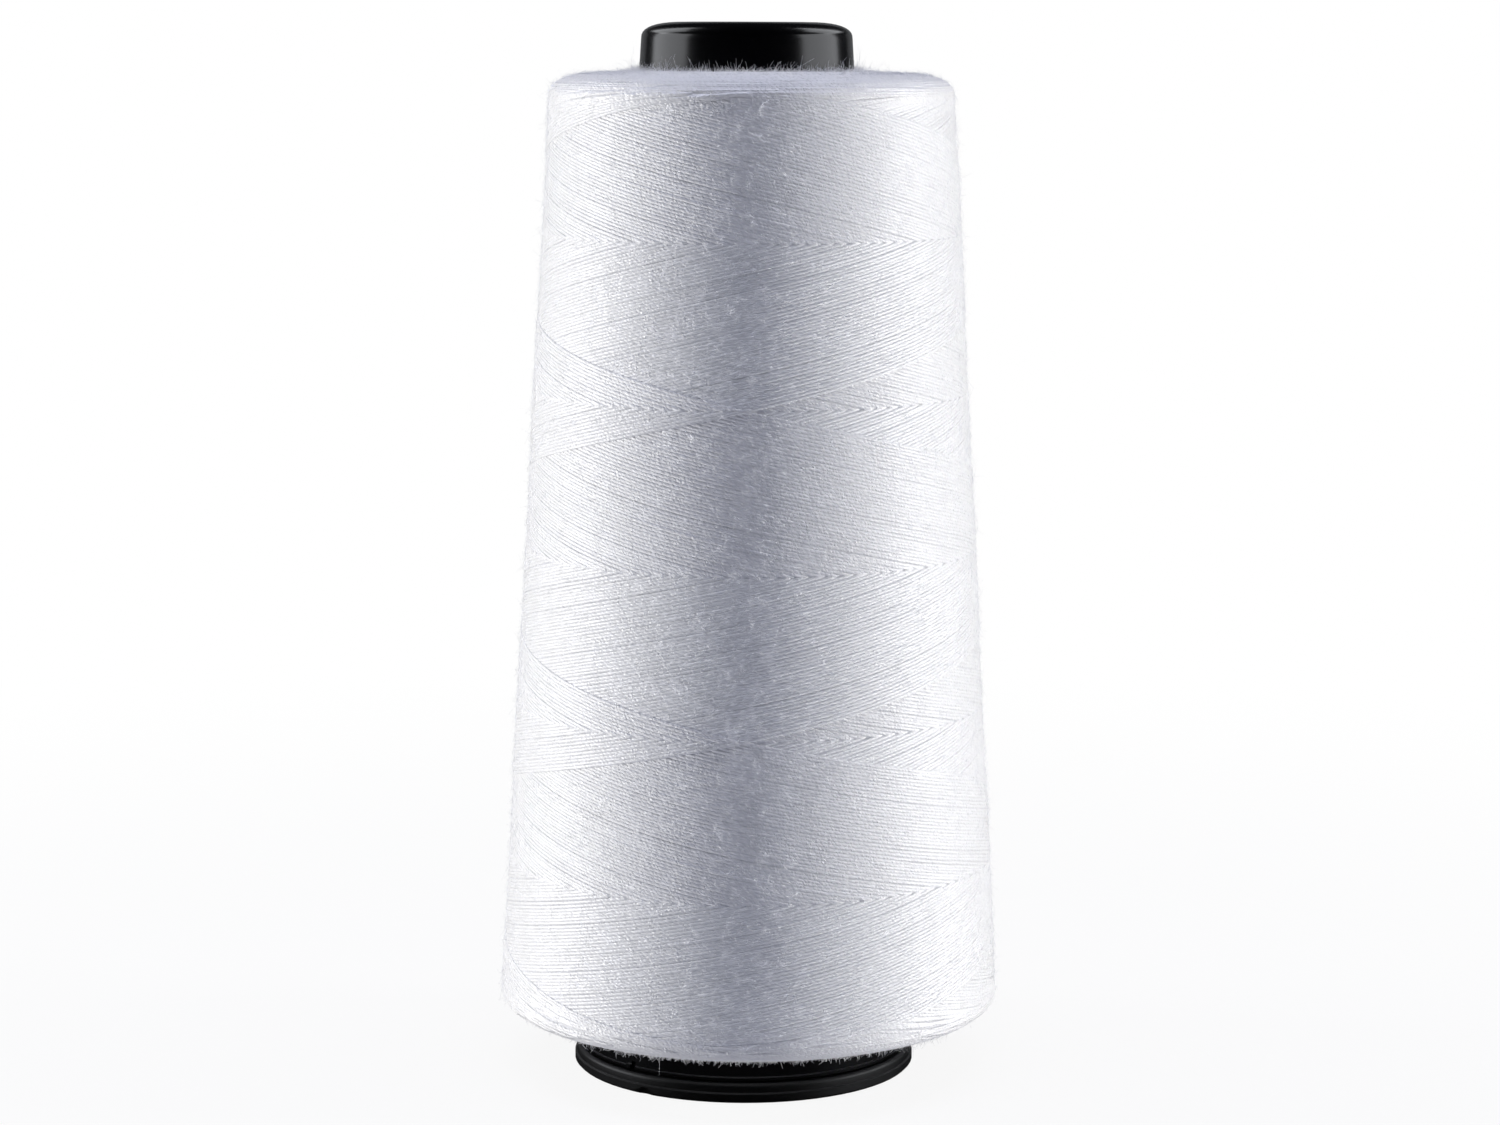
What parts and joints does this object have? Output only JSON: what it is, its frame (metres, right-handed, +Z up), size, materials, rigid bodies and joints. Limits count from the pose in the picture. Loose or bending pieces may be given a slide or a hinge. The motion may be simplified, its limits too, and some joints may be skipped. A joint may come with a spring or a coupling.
{
  "type": "thread cone",
  "caption": "Cone of white cross-wound sewing thread on a black plastic winding cone with a rounded nose and a snap base that opens a slit for the thread's end.",
  "frame": {"origin": "centre of the face that the cone stands on", "axes": "+Z up along the cone's axis towards its nose, -Y towards the front, where the camera of the source picture stood, +X to the right"},
  "size_m": [0.0816, 0.0816, 0.17],
  "materials": {
    "black_plastic": "glossy, lightly scuffed",
    "black_satin_plastic": "satin, scuffed",
    "white_thread": "matt spun thread with short fuzz"
  },
  "bodies": {
    "core": {"cone_core": "black_plastic", "thread_package": "white_thread"},
    "base": {"snap_base": "black_satin_plastic"}
  },
  "joints": [
    {"name": "base_snap_slide", "type": "slide", "parent": "core", "child": "base", "axis": [0, 0, -1], "range_m": [0, 0.003]}
  ]
}
